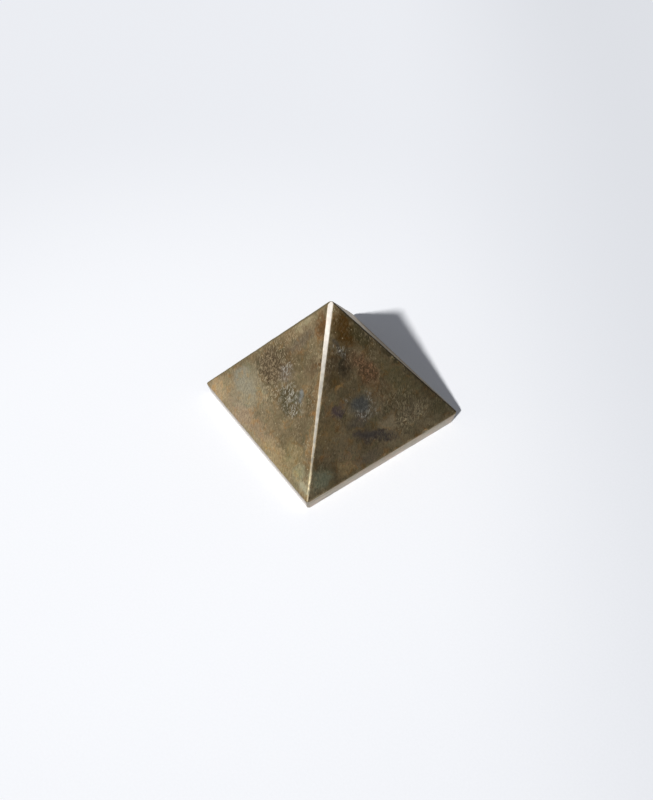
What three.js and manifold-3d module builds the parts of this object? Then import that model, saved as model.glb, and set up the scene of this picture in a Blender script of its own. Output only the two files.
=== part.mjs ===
// A hand-cut, polished pyramid of pyrite, with the mineral bodies that its two front faces cut through.
// Millimetres, +Z up. The origin is the middle of the ground that the stone stands on.
// The front hip is the edge between the -Y face and the +X face.
import * as THREE from 'three';
import { ConvexGeometry } from 'three/addons/geometries/ConvexGeometry.js';
import { mergeVertices } from 'three/addons/utils/BufferGeometryUtils.js';
import Module from 'manifold-3d';

const wasm = await Module();
wasm.setup();

// The stone
const girdleSide = 50; // side of the square where the upright band meets the sloping faces
const bandHeight = 4;
const bandOverhang = 0.7; // how far the girdle stands out past the foot of the band
const apexHeight = 40.6; // where the four faces would meet
const apexLeanX = 0.3; // the point stands this far from the middle of the base
const apexLeanY = 0.6;
const tipWear = 0.6; // worn off the point
const hipFlatDepth = 0.51; // ground off the front hip at its top, measured square to the hip
const cornerFlatDepth = 0.35; // ground off the upright corners of the band

// The seats of the mineral bodies
const seatGap = 0.3; // between a body and its pocket
const coreSink = 0.3; // the core of a crystal cluster lies this far below the polish
const overrun = 5; // how far a cutting block runs past what it cuts

const lumpSplits = 2; // how often each edge of a rounded lump is split

// The real size of each mineral body: span and width on the polish, depth below it, the edge of its
// cubes and the width of its needles' tips
const bodySizes = {
  silver_vein: { span: 6, width: 1.6, depth: 1.2 },
  russet_crystal_cluster: { span: 10, width: 5, depth: 1.8, edge: 1.7 },
  blue_grey_mass: { span: 5.6, width: 5, depth: 2.6 },
  violet_grey_band: { span: 9.4, width: 2.8, depth: 1.8 },
  fibrous_crystal_cluster: { span: 6.8, width: 1, tipWidth: 0.2, depth: 1.4 },
  coarse_crystal_cluster: { span: 9, width: 8, depth: 2.2, edge: 2.2 },
  pale_grey_mass: { span: 9.4, width: 5.4, depth: 2.4 },
  silver_fleck_cluster: { span: 7, width: 2.4, depth: 1.4, edge: 1.2 },
  slate_spot: { span: 4, width: 2, depth: 1.4 },
};
const chipSizes = {
  girdle_chip: { span: 1.7, width: 0.7, depth: 0.45 },
  upper_hip_chip: { span: 1.1, width: 0.6, depth: 0.4 },
  lower_hip_chip: { span: 0.8, width: 0.5, depth: 0.3 },
};

// The four corners, going round from the left one. The shares of half of girdleSide place a corner, the
// others are shares of bandHeight and of hipFlatDepth at the top and at the foot of the hip.
const cornerShares = {
  left: { xShare: -1.008, yShare: -1.012, heightShare: 1.04, flatTopShare: 0.7, flatFootShare: 0.24 },
  front: { xShare: 1, yShare: -1, heightShare: 0.96, flatTopShare: 1, flatFootShare: 0.28 },
  right: { xShare: 1, yShare: 1, heightShare: 1.05, flatTopShare: 0.28, flatFootShare: 0.18 },
  back: { xShare: -0.984, yShare: 1.013, heightShare: 0.94, flatTopShare: 0.62, flatFootShare: 0.24 },
};

const apex = new THREE.Vector3(apexLeanX, apexLeanY, apexHeight);
const corners = Object.fromEntries(Object.entries(cornerShares).map(([name, share]) => {
  const x = share.xShare * girdleSide / 2;
  const y = share.yShare * girdleSide / 2;
  return [name, {
    girdle: new THREE.Vector3(x, y, share.heightShare * bandHeight),
    foot: new THREE.Vector3(x - Math.sign(x) * bandOverhang, y - Math.sign(y) * bandOverhang, 0),
    flatTop: share.flatTopShare * hipFlatDepth,
    flatFoot: share.flatFootShare * hipFlatDepth,
  }];
}));

// The two faces that carry the mineral bodies, each named by the corners at the ends of its girdle edge.
// On a face, along runs with the girdle, up runs up the slope and out stands square to the polish.
const faces = {
  left: faceOf(corners.left.girdle, corners.front.girdle),
  right: faceOf(corners.front.girdle, corners.right.girdle),
};

// The mineral bodies. alongShare and upShare place the middle of a body on its face, as shares of the
// girdle edge from its middle and of the slope from its foot, and angleDegrees turns its span from the
// girdle, in degrees.
// A row of lumpShares is [along, across, length, width, turn], shares of the body's span and width.
// A row of cubeShares is [along, across, edge, turn, lean], shares of span, width and edge.
// A row of needleShares is [length, turn], a share of the body's span.
const minerals = [
  {
    name: 'silver_vein', size: bodySizes.silver_vein,
    face: faces.right, alongShare: -0.034, upShare: 0.726, angleDegrees: -78,
    lumpShares: [[-0.3, 0.05, 0.5, 0.8, 14], [0, -0.1, 0.45, 0.6, -20], [0.28, 0, 0.5, 1, 8]],
    color: 0xb4b2aa, roughness: 0.3, metalness: 0.9,
  },
  {
    name: 'russet_crystal_cluster', size: bodySizes.russet_crystal_cluster,
    face: faces.right, alongShare: 0.064, upShare: 0.55, angleDegrees: -62,
    coreShares: [[-0.2, 0.04, 0.6, 0.8, 6], [0.18, -0.04, 0.62, 0.84, -8]],
    cubeShares: [
      [-0.46, 0.1, 1, 20, 34], [-0.34, -0.32, 0.8, 50, 20], [-0.24, 0.36, 1.1, 8, 40],
      [-0.04, -0.42, 1, 66, 28], [0.06, 0.4, 0.9, 30, 36], [0.26, -0.4, 1.1, 14, 24],
      [0.34, 0.3, 1, 74, 42], [0.46, -0.06, 0.9, 40, 30], [-0.1, 0.02, 0.8, 58, 38],
      [0.18, 0.04, 0.9, 24, 22],
    ],
    color: 0x7a4a32, roughness: 0.45, metalness: 0.7,
  },
  {
    name: 'blue_grey_mass', size: bodySizes.blue_grey_mass,
    face: faces.right, alongShare: -0.032, upShare: 0.362, angleDegrees: -24,
    lumpShares: [[-0.18, 0.1, 0.7, 0.66, 20], [0.16, -0.06, 0.68, 0.8, -30], [0.04, 0.26, 0.5, 0.5, 60]],
    color: 0x4b5056, roughness: 0.35, metalness: 0.85,
  },
  {
    name: 'violet_grey_band', size: bodySizes.violet_grey_band,
    face: faces.right, alongShare: -0.058, upShare: 0.182, angleDegrees: -30,
    lumpShares: [[-0.32, 0.12, 0.4, 0.7, 24], [-0.06, -0.1, 0.46, 1, -8], [0.24, 0.08, 0.52, 0.8, 12]],
    color: 0x4e454c, roughness: 0.38, metalness: 0.85,
  },
  {
    name: 'fibrous_crystal_cluster', size: bodySizes.fibrous_crystal_cluster,
    face: faces.right, alongShare: 0.224, upShare: 0.132, angleDegrees: 0,
    needleShares: [
      [0.9, 2], [0.76, 20], [1, 37], [0.82, 58], [0.96, 76], [0.7, 97], [0.92, 117], [0.74, 137], [1, 156],
      [0.84, 176], [0.4, 216], [0.32, 262], [0.38, 310], [0.66, 342],
    ],
    color: 0x6e5e3e, roughness: 0.4, metalness: 0.8,
  },
  {
    name: 'coarse_crystal_cluster', size: bodySizes.coarse_crystal_cluster,
    face: faces.left, alongShare: -0.13, upShare: 0.436, angleDegrees: 8,
    coreShares: [[-0.12, 0.08, 0.76, 0.72, 20], [0.16, -0.1, 0.66, 0.7, -16]],
    cubeShares: [
      [-0.46, -0.12, 0.9, 16, 36], [-0.4, 0.22, 1, 58, 24], [-0.22, 0.42, 1.1, 34, 42],
      [0.06, 0.36, 0.9, 8, 30], [0.3, 0.26, 1.1, 70, 38], [0.46, -0.02, 0.9, 26, 26],
      [0.38, -0.34, 1, 48, 40], [0.1, -0.42, 1.1, 12, 32], [-0.22, -0.38, 1, 64, 28],
      [-0.14, 0.06, 1.1, 40, 22], [0.14, 0.02, 0.9, 78, 44],
    ],
    color: 0x735f41, roughness: 0.45, metalness: 0.8,
  },
  {
    name: 'pale_grey_mass', size: bodySizes.pale_grey_mass,
    face: faces.left, alongShare: -0.218, upShare: 0.2, angleDegrees: 24,
    lumpShares: [[-0.24, 0.04, 0.54, 0.8, -14], [0.08, 0.08, 0.6, 0.86, 16], [0.3, -0.1, 0.42, 0.6, 34]],
    color: 0x8c897a, roughness: 0.32, metalness: 0.85,
  },
  {
    name: 'silver_fleck_cluster', size: bodySizes.silver_fleck_cluster,
    face: faces.left, alongShare: 0.06, upShare: 0.34, angleDegrees: -38,
    coreShares: [[-0.22, 0.04, 0.5, 0.7, 10], [0.2, -0.04, 0.56, 0.76, -6]],
    cubeShares: [
      [-0.44, 0.08, 1, 24, 30], [-0.26, -0.36, 0.9, 60, 40], [-0.12, 0.38, 1.1, 10, 26],
      [0.08, -0.38, 1, 44, 36], [0.22, 0.36, 0.9, 72, 22], [0.34, -0.24, 1, 32, 42],
      [0.46, 0.12, 0.9, 54, 28],
    ],
    color: 0xa9a79c, roughness: 0.28, metalness: 0.95,
  },
  {
    name: 'slate_spot', size: bodySizes.slate_spot,
    face: faces.left, alongShare: 0.136, upShare: 0.446, angleDegrees: -58,
    lumpShares: [[-0.18, 0.06, 0.62, 0.9, 12], [0.2, -0.06, 0.58, 0.7, -14]],
    color: 0x6f7478, roughness: 0.32, metalness: 0.9,
  },
];

// Small chips knocked out of the edges of the right face, placed in the same way
const chips = [
  { size: chipSizes.girdle_chip, face: faces.right, alongShare: 0.268, upShare: 0, angleDegrees: 4 },
  { size: chipSizes.upper_hip_chip, face: faces.right, alongShare: 0.229, upShare: 0.538, angleDegrees: -60 },
  { size: chipSizes.lower_hip_chip, face: faces.right, alongShare: 0.252, upShare: 0.496, angleDegrees: -60 },
];
const chipShares = [[0, 0, 1, 1, 0]];

function faceOf(from, to) {
  const along = to.clone().sub(from).normalize();
  const out = along.clone().cross(apex.clone().sub(from)).normalize();
  const up = out.clone().cross(along);
  const middle = from.clone().add(to).divideScalar(2);
  return { along, up, out, middle, edge: from.distanceTo(to), slope: apex.clone().sub(middle).dot(up) };
}

// Closed shapes for joining and cutting

function solidOf(geometry) {
  geometry.deleteAttribute('normal');
  geometry.deleteAttribute('uv');
  const merged = mergeVertices(geometry);
  return new wasm.Manifold(new wasm.Mesh({
    numProp: 3,
    vertProperties: new Float32Array(merged.attributes.position.array),
    triVerts: new Uint32Array(merged.index.array),
  }));
}

function joined(solids) {
  return solids.reduce((whole, solid) => whole.add(solid));
}

function volumeOf(positions, triangle) {
  const [a, b, c] = triangle.map((i) => new THREE.Vector3().fromArray(positions, 3 * i));
  return a.dot(b.cross(c)) / 6;
}

// A cut can leave loose crumbs between crystals, so only the largest connected piece is kept
function mainPiece(positions, triangles) {
  const parent = Array.from({ length: positions.length / 3 }, (_, i) => i);
  const rootOf = (i) => (parent[i] === i ? i : (parent[i] = rootOf(parent[i])));
  for (const [a, b, c] of triangles) {
    parent[rootOf(a)] = rootOf(b);
    parent[rootOf(b)] = rootOf(c);
  }
  const pieces = new Map();
  for (const triangle of triangles) {
    const root = rootOf(triangle[0]);
    const piece = pieces.get(root) ?? { volume: 0, triangles: [] };
    piece.volume += volumeOf(positions, triangle);
    piece.triangles.push(triangle);
    pieces.set(root, piece);
  }
  return [...pieces.values()].sort((a, b) => b.volume - a.volume)[0].triangles;
}

function geometryOf(solid) {
  const { vertProperties, triVerts } = solid.getMesh();
  const triangles = [];
  for (let i = 0; i < triVerts.length; i += 3) triangles.push([...triVerts.slice(i, i + 3)]);
  const geometry = new THREE.BufferGeometry();
  geometry.setAttribute('position', new THREE.BufferAttribute(vertProperties, 3));
  geometry.setIndex(mainPiece(vertProperties, triangles).flat());
  geometry.computeVertexNormals();
  return geometry;
}

// The stone

// A block that grinds a flat along the edge from one point to another, square to the diagonal of the base
function flatCutter(from, to, fromDepth, toDepth) {
  const across = new THREE.Vector3(-to.y, to.x, 0).normalize();
  const square = to.clone().sub(from).normalize().cross(across);
  const outward = square.dot(to) < 0 ? square.negate() : square;
  const start = from.clone().addScaledVector(outward, -fromDepth);
  const end = to.clone().addScaledVector(outward, -toDepth);
  const along = end.clone().sub(start).normalize();
  const out = along.clone().cross(across);
  const facing = out.dot(outward) < 0 ? -1 : 1;
  const centre = start.add(end).divideScalar(2).addScaledVector(out, facing * overrun / 2);
  const block = new THREE.BoxGeometry(from.distanceTo(to) + 2 * overrun, 2 * overrun, overrun);
  block.applyMatrix4(new THREE.Matrix4().makeBasis(along, across, out).setPosition(centre));
  return solidOf(block);
}

function tipCutter() {
  const block = new THREE.BoxGeometry(2 * overrun, 2 * overrun, overrun);
  block.translate(apex.x, apex.y, apexHeight - tipWear + overrun / 2);
  return solidOf(block);
}

function cutStone() {
  const rims = Object.values(corners);
  let stone = solidOf(new ConvexGeometry([apex, ...rims.map((c) => c.girdle), ...rims.map((c) => c.foot)]));
  for (const corner of rims) {
    stone = stone.subtract(flatCutter(apex, corner.girdle, corner.flatTop, corner.flatFoot));
    stone = stone.subtract(flatCutter(corner.foot, corner.girdle, cornerFlatDepth, cornerFlatDepth));
  }
  return stone.subtract(tipCutter());
}

// The mineral bodies, in the frame of their own face, with the polish at zero.
// Each is made grown by zero for the body and by seatGap for its pocket.

// Everything above a level of the face
function aboveLevel(size, level) {
  const reach = size.span + overrun;
  const block = new THREE.BoxGeometry(2 * reach, 2 * reach, 2 * reach);
  block.translate(0, 0, reach + level);
  return solidOf(block);
}

function lumps(size, shares, grow) {
  return joined(shares.map(([along, across, length, width, turn]) => {
    const lump = new THREE.IcosahedronGeometry(1, lumpSplits);
    lump.scale(size.span * length / 2 + grow, size.width * width / 2 + grow, size.depth + grow);
    lump.rotateZ(THREE.MathUtils.degToRad(turn));
    lump.translate(size.span * along, size.width * across, 0);
    return solidOf(lump);
  }));
}

// Cubic crystals that lean out of the core, each with its middle a quarter of its edge below the polish
function cubes(size, shares, grow) {
  return joined(shares.map(([along, across, edgeShare, turn, lean]) => {
    const edge = size.edge * edgeShare;
    const cube = new THREE.BoxGeometry(edge + 2 * grow, edge + 2 * grow, edge + 2 * grow);
    cube.rotateX(THREE.MathUtils.degToRad(lean));
    cube.rotateZ(THREE.MathUtils.degToRad(turn));
    cube.translate(size.span * along, size.width * across, -edge / 4);
    return solidOf(cube);
  }));
}

// Six-sided needles that fan out from one point and grow thinner and shallower away from it
function needles(size, shares, grow) {
  const root = size.width / 2 + grow;
  const tip = size.tipWidth / 2 + grow;
  return joined(shares.map(([share, turn]) => {
    const reach = size.span * share + grow;
    const needle = new THREE.CylinderGeometry(tip, root, reach + root, 6);
    needle.translate(0, (reach - root) / 2, 0);
    needle.scale(1, 1, (size.depth + grow) / root);
    needle.rotateZ(THREE.MathUtils.degToRad(turn - 90));
    return solidOf(needle);
  }));
}

function bodyShape(body, grow) {
  if (body.lumpShares) return lumps(body.size, body.lumpShares, grow);
  if (body.needleShares) return needles(body.size, body.needleShares, grow);
  return lumps(body.size, body.coreShares, grow).add(cubes(body.size, body.cubeShares, grow));
}

function bodySolid(body) {
  const abovePolish = aboveLevel(body.size, 0);
  if (!body.coreShares) return bodyShape(body, 0).subtract(abovePolish);
  const core = lumps(body.size, body.coreShares, 0).subtract(aboveLevel(body.size, -coreSink));
  return core.add(cubes(body.size, body.cubeShares, 0).subtract(abovePolish));
}

// Where a body sits: its face's directions turned about the outward one, at its place on the polish
function seatOf(body) {
  const { along, up, out, middle, edge, slope } = body.face;
  const place = middle.clone()
    .addScaledVector(along, body.alongShare * edge)
    .addScaledVector(up, body.upShare * slope);
  return new THREE.Matrix4().makeBasis(along, up, out)
    .multiply(new THREE.Matrix4().makeRotationZ(THREE.MathUtils.degToRad(body.angleDegrees)))
    .setPosition(place);
}

function placed(shape, body) {
  return solidOf(geometryOf(shape).applyMatrix4(seatOf(body)));
}

function stoneWithPockets() {
  const pockets = minerals.map((body) => placed(bodyShape(body, seatGap), body));
  const chipCuts = chips.map((chip) => placed(lumps(chip.size, chipShares, 0), chip));
  return [...pockets, ...chipCuts].reduce((whole, cut) => whole.subtract(cut), cutStone());
}

// The assembly

function named(name, geometry, material) {
  const mesh = new THREE.Mesh(geometry, new THREE.MeshStandardMaterial({ ...material, flatShading: true }));
  mesh.name = name;
  return mesh;
}

const group = new THREE.Group();
const stoneFinish = { color: 0x80704e, roughness: 0.32, metalness: 0.9 };
group.add(named('pyrite_body', geometryOf(stoneWithPockets()), stoneFinish));
for (const body of minerals) {
  const { color, roughness, metalness } = body;
  const mesh = named(body.name, geometryOf(bodySolid(body)), { color, roughness, metalness });
  seatOf(body).decompose(mesh.position, mesh.quaternion, mesh.scale);
  group.add(mesh);
}

export default group;
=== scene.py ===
"""A polished pyrite pyramid on a white table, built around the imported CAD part.

Lengths are in millimetres until a mesh is made, and the frame is the CAD part's own.
"""

import math
from functools import partial

import bmesh
import bpy
import numpy as np
from mathutils import Matrix, Vector, noise
from mathutils.bvhtree import BVHTree
from mathutils.kdtree import KDTree


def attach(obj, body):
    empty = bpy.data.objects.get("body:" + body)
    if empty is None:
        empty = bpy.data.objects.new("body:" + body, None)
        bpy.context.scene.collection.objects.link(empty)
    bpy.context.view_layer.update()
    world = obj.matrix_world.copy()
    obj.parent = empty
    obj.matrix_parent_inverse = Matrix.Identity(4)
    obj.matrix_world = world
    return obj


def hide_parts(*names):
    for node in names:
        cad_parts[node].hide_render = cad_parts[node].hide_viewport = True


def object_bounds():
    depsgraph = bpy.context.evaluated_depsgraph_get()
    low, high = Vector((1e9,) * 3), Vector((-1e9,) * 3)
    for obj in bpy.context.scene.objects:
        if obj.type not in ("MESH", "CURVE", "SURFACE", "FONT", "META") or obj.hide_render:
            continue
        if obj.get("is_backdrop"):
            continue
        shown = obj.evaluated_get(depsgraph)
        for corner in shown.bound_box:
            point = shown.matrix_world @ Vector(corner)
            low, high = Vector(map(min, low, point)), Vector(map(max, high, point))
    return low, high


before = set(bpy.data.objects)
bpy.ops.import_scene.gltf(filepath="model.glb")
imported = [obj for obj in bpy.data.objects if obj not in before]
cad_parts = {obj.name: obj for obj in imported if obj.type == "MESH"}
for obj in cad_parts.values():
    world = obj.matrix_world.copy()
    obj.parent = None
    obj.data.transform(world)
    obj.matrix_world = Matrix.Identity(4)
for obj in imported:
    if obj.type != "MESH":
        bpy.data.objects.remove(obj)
CAD_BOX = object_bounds()
scene = bpy.context.scene
MM = 0.001

# The stone, as in the part's source
GIRDLE_SIDE = 50.0
BAND_HEIGHT = 4.0
BAND_OVERHANG = 0.7
APEX = np.array([0.3, 0.6, 40.6])
TIP_WEAR = 0.6
HIP_FLAT_DEPTH = 0.51
CORNER_FLAT_DEPTH = 0.35

# Each corner from the left one on: shares of half the girdle side in x and y, of the band height, and of the
# hip flat's depth at its top and foot
CORNER_SHARES = (
    (-1.008, -1.012, 1.04, 0.7, 0.24),
    (1, -1, 0.96, 1, 0.28),
    (1, 1, 1.05, 0.28, 0.18),
    (-0.984, 1.013, 0.94, 0.62, 0.24),
)
LEFT, RIGHT, BACK, FAR_LEFT = range(4)  # the sloping faces, from the corner of the same number
INSIDE = np.array([0.0, 0.0, 10.0])

# The mesh
GRID_STEP = 0.34
EDGE_STEPS = (0.0, 0.06, 0.15, 0.28)  # closer rows and columns beside each edge
FACE_COLUMNS = 140  # at the girdle
FLAT_COLUMNS = 6
LOFT_TOP = 38.6  # the point above this level is meshed as a cap
# The rings on the base: how far in from its edge, and columns to a side
BASE_RINGS = (
    (22, 20), (19, 20), (16, 20), (13, 20), (10.5, 20), (8, 40), (6, 40), (4.2, 40), (2.8, 40),
    (1.8, 70), (1.1, 70), (0.6, 70), (0.28, FACE_COLUMNS), (0.15, FACE_COLUMNS), (0.06, FACE_COLUMNS),
)
BAND_STEP = 0.36
CAP_RINGS = 14
CAP_COLUMNS = 10
EDGE_WEAR = 0.06  # how far an edge is rounded back
EDGE_WEAR_SPREAD = 0.035
EDGE_WEAR_ENDS = (0.018, 0.2)
SETTLING_ROUNDS = 12

# The mineral bodies that the two front faces cut through: node, slot, face, depth of the pocket
BODIES = (
    ("silver_vein", "silver_mineral", RIGHT, 0.9),
    ("russet_crystal_cluster", "russet_crystals", RIGHT, 1.3),
    ("blue_grey_mass", "blue_grey_mineral", RIGHT, 1.8),
    ("violet_grey_band", "violet_grey_mineral", RIGHT, 1.3),
    ("fibrous_crystal_cluster", "fibrous_pyrite", RIGHT, 1.0),
    ("coarse_crystal_cluster", "coarse_pyrite", LEFT, 1.6),
    ("pale_grey_mass", "pale_grey_mineral", LEFT, 1.7),
    ("silver_fleck_cluster", "silver_mineral", LEFT, 1.0),
    ("slate_spot", "slate_mineral", LEFT, 1.0),
)
NOT_BODY = -1


# Planes of the stone

def unit(vector):
    return vector / np.linalg.norm(vector)


def plane_through(a, b, c):
    normal = unit(np.cross(b - a, c - a))
    if normal @ (INSIDE - a) > 0:
        normal = -normal
    return normal, normal @ a


def flat_plane(top, foot, top_depth, foot_depth):
    """The flat ground along the edge from top to foot."""
    across = unit(np.array([-foot[1], foot[0], 0.0]))
    outward = np.cross(unit(foot - top), across)
    if outward @ foot < 0:
        outward = -outward
    start = top - outward * top_depth
    end = foot - outward * foot_depth
    return plane_through(start, end, start + across)


def meet(*planes):
    return np.linalg.solve(np.array([p[0] for p in planes]), np.array([p[1] for p in planes]))


def corner_points():
    girdle, foot = [], []
    for x_share, y_share, height_share, _, _ in CORNER_SHARES:
        x, y = x_share * GIRDLE_SIDE / 2, y_share * GIRDLE_SIDE / 2
        girdle.append(np.array([x, y, height_share * BAND_HEIGHT]))
        foot.append(np.array([x - math.copysign(BAND_OVERHANG, x), y - math.copysign(BAND_OVERHANG, y), 0.0]))
    return girdle, foot


GIRDLE, FOOT = corner_points()
SLOPES = [plane_through(GIRDLE[i], GIRDLE[(i + 1) % 4], APEX) for i in range(4)]
BANDS = [plane_through(GIRDLE[i], GIRDLE[(i + 1) % 4], (FOOT[i] + FOOT[(i + 1) % 4]) / 2) for i in range(4)]
HIPS = [
    flat_plane(APEX, GIRDLE[i], share[3] * HIP_FLAT_DEPTH, share[4] * HIP_FLAT_DEPTH)
    for i, share in enumerate(CORNER_SHARES)
]
CORNER_FLATS = [flat_plane(FOOT[i], GIRDLE[i], CORNER_FLAT_DEPTH, CORNER_FLAT_DEPTH) for i in range(4)]
BASE = (np.array([0.0, 0.0, -1.0]), 0.0)
TIP = (np.array([0.0, 0.0, 1.0]), APEX[2] - TIP_WEAR)
PLANES = [*SLOPES, *HIPS, *BANDS, *CORNER_FLATS, BASE, TIP]
NORMALS = np.array([p[0] for p in PLANES])
OFFSETS = np.array([p[1] for p in PLANES])

# The places in PLANES of what the stone's colours tell apart
FLAT_ROWS = {
    "front_flat": [5],
    "pale_flats": [4, 7],
    "right_flat": [6],
    "left_band": [8],
    "other_bands": list(range(9, 16)),
    "front_corner": [13],
}


class Face:
    """A sloping face: along its girdle edge, up the slope, and out, square to it."""

    def __init__(self, index):
        start, end = GIRDLE[index], GIRDLE[(index + 1) % 4]
        self.along = unit(end - start)
        self.out = SLOPES[index][0]
        self.up = np.cross(self.out, self.along)
        self.middle = (start + end) / 2

    def flat(self, points):
        offset = points - self.middle
        return np.stack([offset @ self.along, offset @ self.up, offset @ self.out], axis=-1)

    def place(self, along, up):
        return self.middle + along * self.along + up * self.up

    def turned(self, degrees):
        """The face's directions as columns, turned about the outward one."""
        turn = math.radians(degrees)
        span = math.cos(turn) * self.along + math.sin(turn) * self.up
        return np.stack([span, np.cross(self.out, span), self.out], axis=1)

    def euler(self, degrees):
        return Matrix(self.turned(degrees).tolist()).to_euler()


FACES = [Face(i) for i in range(4)]


# The worn surface: each edge is rounded back by a soft maximum of the planes

NOISE_GAIN = 1.6


def noise_at(points, size, seed):
    """Noise from about -1 to 1."""
    shift = Vector((seed * 17.3, seed * 5.1, seed * 9.7))
    return np.array([noise.noise(Vector(p) / size + shift) for p in points]) * NOISE_GAIN


def sharpness_at(points):
    wear = EDGE_WEAR + EDGE_WEAR_SPREAD * noise_at(points, 3.5, 1)
    wear += 0.4 * EDGE_WEAR * noise_at(points, 0.9, 2)
    return math.log(2) / np.clip(wear, *EDGE_WEAR_ENDS)


def level_at(points, sharpness):
    """How far outside the worn stone the points lie, the way out, and each plane's share in it."""
    outside = (points @ NORMALS.T - OFFSETS) * sharpness[:, None]
    top = outside.max(axis=1, keepdims=True)
    weights = np.exp(outside - top)
    total = weights.sum(axis=1, keepdims=True)
    level = (top[:, 0] + np.log(total[:, 0])) / sharpness
    shares = weights / total
    return level, shares @ NORMALS, shares


def settled(points, sharpness, upright):
    """The points moved onto the worn surface, upright ones straight up or down."""
    points = points.copy()
    for _ in range(SETTLING_ROUNDS):
        level, out, _ = level_at(points, sharpness)
        step = out * (level / (out ** 2).sum(axis=1))[:, None]
        lift = np.zeros_like(points)
        lift[:, 2] = np.clip(level / np.where(abs(out[:, 2]) < 0.05, 0.05, out[:, 2]), -1.0, 1.0)
        points -= np.where(upright[:, None], lift, step)
    return points


# Rings of points round the stone, from the middle of its base up to the tip

def columns(width, middle):
    """Shares of a face's width at which its columns stand."""
    edge = np.array(EDGE_STEPS) * min(1.0, width / 4) / width
    inner = np.linspace(edge[-1], 1 - edge[-1], middle + 1)
    return np.concatenate([edge[:-1], inner, 1 - edge[-2::-1]])


def ring_of(starts, ends, middle):
    """A closed line: for each corner its flat and then the face that follows, each as shares and points."""
    ring = []
    for i in range(4):
        following = starts[(i + 1) % 4]
        across = columns(np.linalg.norm(following - ends[i]), middle)
        for start, end, shares in ((starts[i], ends[i], np.linspace(0, 1, FLAT_COLUMNS + 1)),
                                   (ends[i], following, across)):
            ring.append((shares, start + (end - start) * shares[:-1, None]))
    return ring


def numbered(ring, start):
    """Each part's shares, and the numbers of its points and the next one, from start on."""
    whole = sum(len(points) for _, points in ring)
    first = 0
    for shares, points in ring:
        yield shares, [start + (first + k) % whole for k in range(len(points) + 1)]
        first += len(points)


def scaled_ring(ring, centre, share, middle):
    """A ring drawn in towards a centre."""
    starts, ends = ([centre + (point - centre) * share for point in side] for side in ring)
    return ring_of(starts, ends, middle)


def between(lower, upper, share):
    """A ring's starts and ends between two others'."""
    return [[a + (b - a) * share for a, b in zip(*pair)] for pair in zip(lower, upper)]


def middle_columns(width):
    count = FACE_COLUMNS
    while count > 10 and width / count < GRID_STEP / 2:
        count //= 2
    return count


def spaced(length, step):
    """Distances from 0 to length, closer at both ends."""
    inner = np.linspace(EDGE_STEPS[-1], length - EDGE_STEPS[-1], max(2, round(length / step)))
    return np.concatenate([EDGE_STEPS[:-1], inner, length - np.array(EDGE_STEPS[-2::-1])])


def corner_pairs(sides, flats, cuts):
    """Where each corner's flat meets the sides before and after it, on their cuts."""
    return ([meet(sides[i - 1], flats[i], cuts[i - 1]) for i in range(4)],
            [meet(sides[i], flats[i], cuts[i]) for i in range(4)])


def stone_rings():
    """The rings from the middle of the base to the tip, and which of them settle upright."""
    top = corner_pairs(SLOPES, HIPS, [(TIP[0], LOFT_TOP)] * 4)
    rim = corner_pairs(SLOPES, HIPS, BANDS)
    foot = corner_pairs(BANDS, CORNER_FLATS, [BASE] * 4)
    half = GIRDLE_SIDE / 2 - BAND_OVERHANG
    base = [scaled_ring(foot, np.zeros(3), 1 - inset / half, middle) for inset, middle in BASE_RINGS]
    heights = spaced(BAND_HEIGHT, BAND_STEP)[:-1]
    sides = [ring_of(*between(foot, rim, height / BAND_HEIGHT), FACE_COLUMNS) for height in heights]
    slope = np.linalg.norm(top[1][LEFT] - rim[1][LEFT])
    for height in (*EDGE_STEPS, *np.arange(2 * GRID_STEP, slope, GRID_STEP)):
        starts, ends = between(rim, top, height / slope)
        sides.append(ring_of(starts, ends, middle_columns(np.linalg.norm(starts[1] - ends[0]))))
    centre = sum(top[0] + top[1]) / 8
    cap = [scaled_ring(top, centre, 1 - step / CAP_RINGS, CAP_COLUMNS) for step in range(CAP_RINGS)]
    upright = [True] * len(base) + [False] * len(sides) + [True] * len(cap)
    return base + sides + cap, upright, centre


def joined_lines(lower, upper, lower_shares, upper_shares):
    """Triangles between two lines, by the shares of their points."""
    found = []
    i = j = 0
    steps = [(share, 0) for share in lower_shares[1:]] + [(share, 1) for share in upper_shares[1:]]
    for _, on_upper in sorted(steps):
        if on_upper:
            found.append((lower[i], upper[j + 1], upper[j]))
            j += 1
        else:
            found.append((lower[i], lower[i + 1], upper[j]))
            i += 1
    return found


def joined_rings(lower, upper, lower_start, upper_start):
    """Faces between two rings: four-sided where their columns match."""
    found = []
    parts = zip(numbered(lower, lower_start), numbered(upper, upper_start))
    for (low_shares, low), (high_shares, high) in parts:
        if len(low) == len(high):
            found += [(low[k], low[k + 1], high[k + 1], high[k]) for k in range(len(low) - 1)]
        else:
            found += joined_lines(low, high, low_shares, high_shares)
    return found


def stone_grid():
    """The whole surface, before any relief."""
    rings, upright, centre = stone_rings()
    points = [np.concatenate([part for _, part in ring]) for ring in rings]
    counts = [len(made) for made in points]
    starts = [sum(counts[:k]) for k in range(len(counts) + 1)]
    faces = []
    for k in range(len(rings) - 1):
        faces += joined_rings(rings[k], rings[k + 1], starts[k], starts[k + 1])
    first, last, total = counts[0], counts[-1], starts[-1]
    faces += [(total, (k + 1) % first, k) for k in range(first)]
    faces += [(total + 1, starts[-2] + k, starts[-2] + (k + 1) % last) for k in range(last)]
    points = np.concatenate([*points, np.array([[0.0, 0.0, 0.0], [centre[0], centre[1], TIP[1]]])])
    return settled(points, sharpness_at(points), np.repeat(upright + [True], counts + [2])), faces


POINTS, POLYGONS = stone_grid()


# Which faces of the grid belong to which mineral body

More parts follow.
